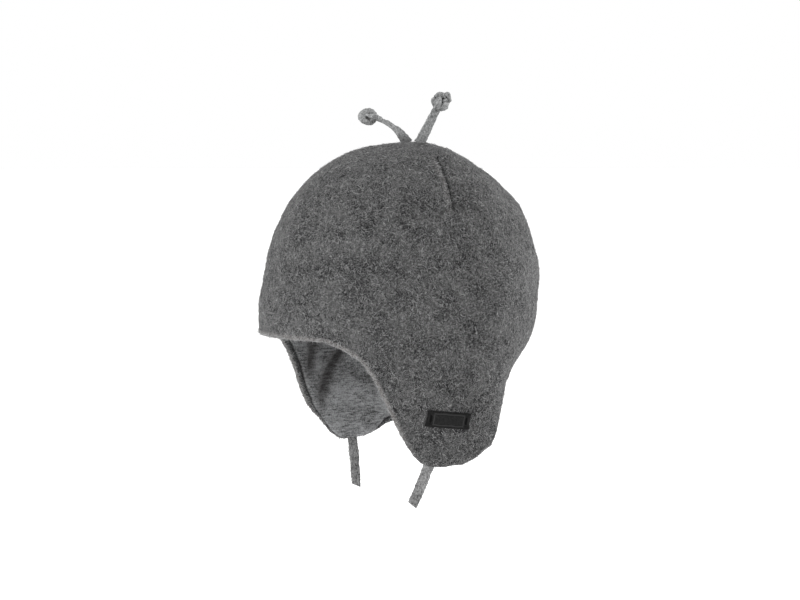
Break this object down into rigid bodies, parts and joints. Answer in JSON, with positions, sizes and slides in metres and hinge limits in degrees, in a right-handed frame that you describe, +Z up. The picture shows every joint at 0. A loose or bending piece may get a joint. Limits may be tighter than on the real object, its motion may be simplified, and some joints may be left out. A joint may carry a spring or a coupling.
{
  "type": "baby hat with ear flaps",
  "caption": "Baby's lined fleece hat with round crown, ear flaps with short jersey ties, a small bare woven label and knotted jersey strips on top.",
  "frame": {"origin": "inside top of the lining, where the hat sits on the head, straight under the knotted strips", "axes": "+Z up, the brow faces -Y, the wearer's left ear flap is at +X"},
  "size_m": [0.1376, 0.1624, 0.2326],
  "materials": {
    "fleece": "felted grey melange wool fleece with a short nap",
    "jersey_lining": "fine grey melange cotton jersey",
    "jersey_strip": "light grey melange jersey, folded into a flat strip",
    "woven_label": "black woven tape, bare"
  },
  "bodies": {
    "root": {"shell": "fleece", "lining": "jersey_lining", "label": "woven_label", "tie_left": "jersey_strip", "tie_right": "jersey_strip", "antenna_front": "jersey_strip", "antenna_back": "jersey_strip"}
  },
  "joints": []
}
